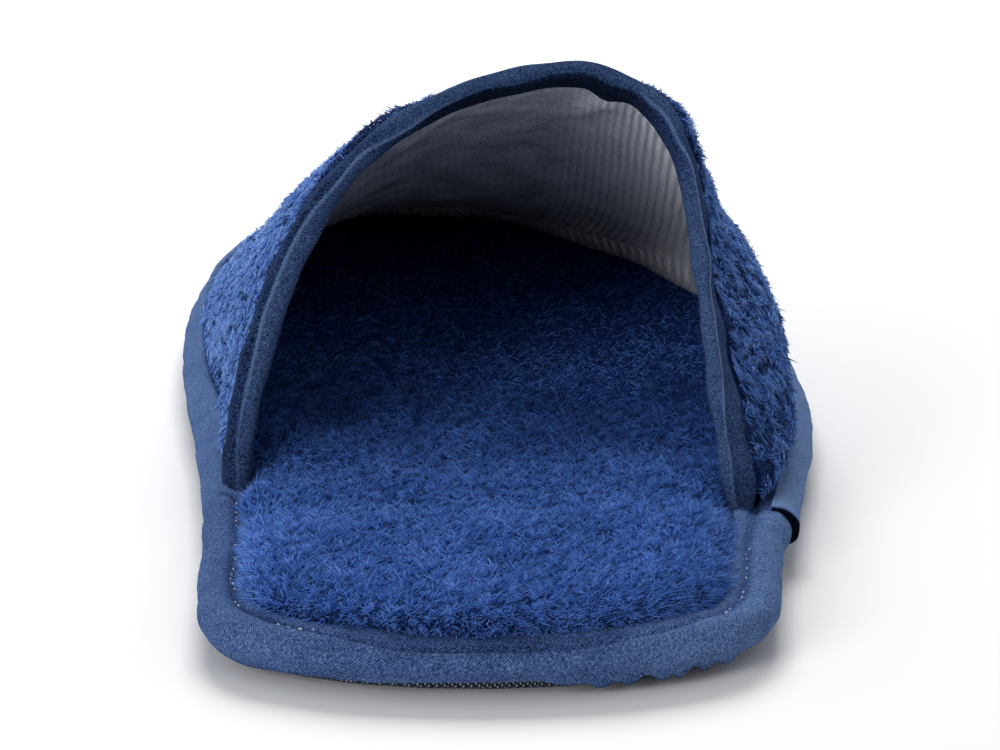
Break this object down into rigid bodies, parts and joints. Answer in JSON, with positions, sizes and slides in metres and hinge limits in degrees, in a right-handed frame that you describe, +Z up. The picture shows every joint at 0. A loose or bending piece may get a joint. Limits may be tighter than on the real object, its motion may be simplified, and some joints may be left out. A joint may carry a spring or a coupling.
{
  "type": "bath slipper",
  "caption": "Backless bath slipper for the right foot: flat cloth-bottomed sole, deep pile insole, hollow pile vamp with a slanting collar, and woven tape bound round the sole and collar.",
  "frame": {"origin": "on the floor, under the middle of the slipper's length and width", "axes": "+Y to the toe, +X to the outer side of the foot, +Z up"},
  "size_m": [0.1083, 0.2644, 0.0644],
  "materials": {
    "sole_cloth": "dark woven cloth over a foam board",
    "insole_pile": "deep cut pile, matt",
    "vamp_pile": "curled towelling pile outside, ribbed lining inside",
    "sole_tape": "woven binding tape, matt",
    "collar_tape": "twill binding tape, matt"
  },
  "bodies": {
    "root": {"outsole": "sole_cloth", "insole": "insole_pile", "upper": "vamp_pile", "sole_binding": "sole_tape", "collar_binding": "collar_tape"}
  },
  "joints": []
}
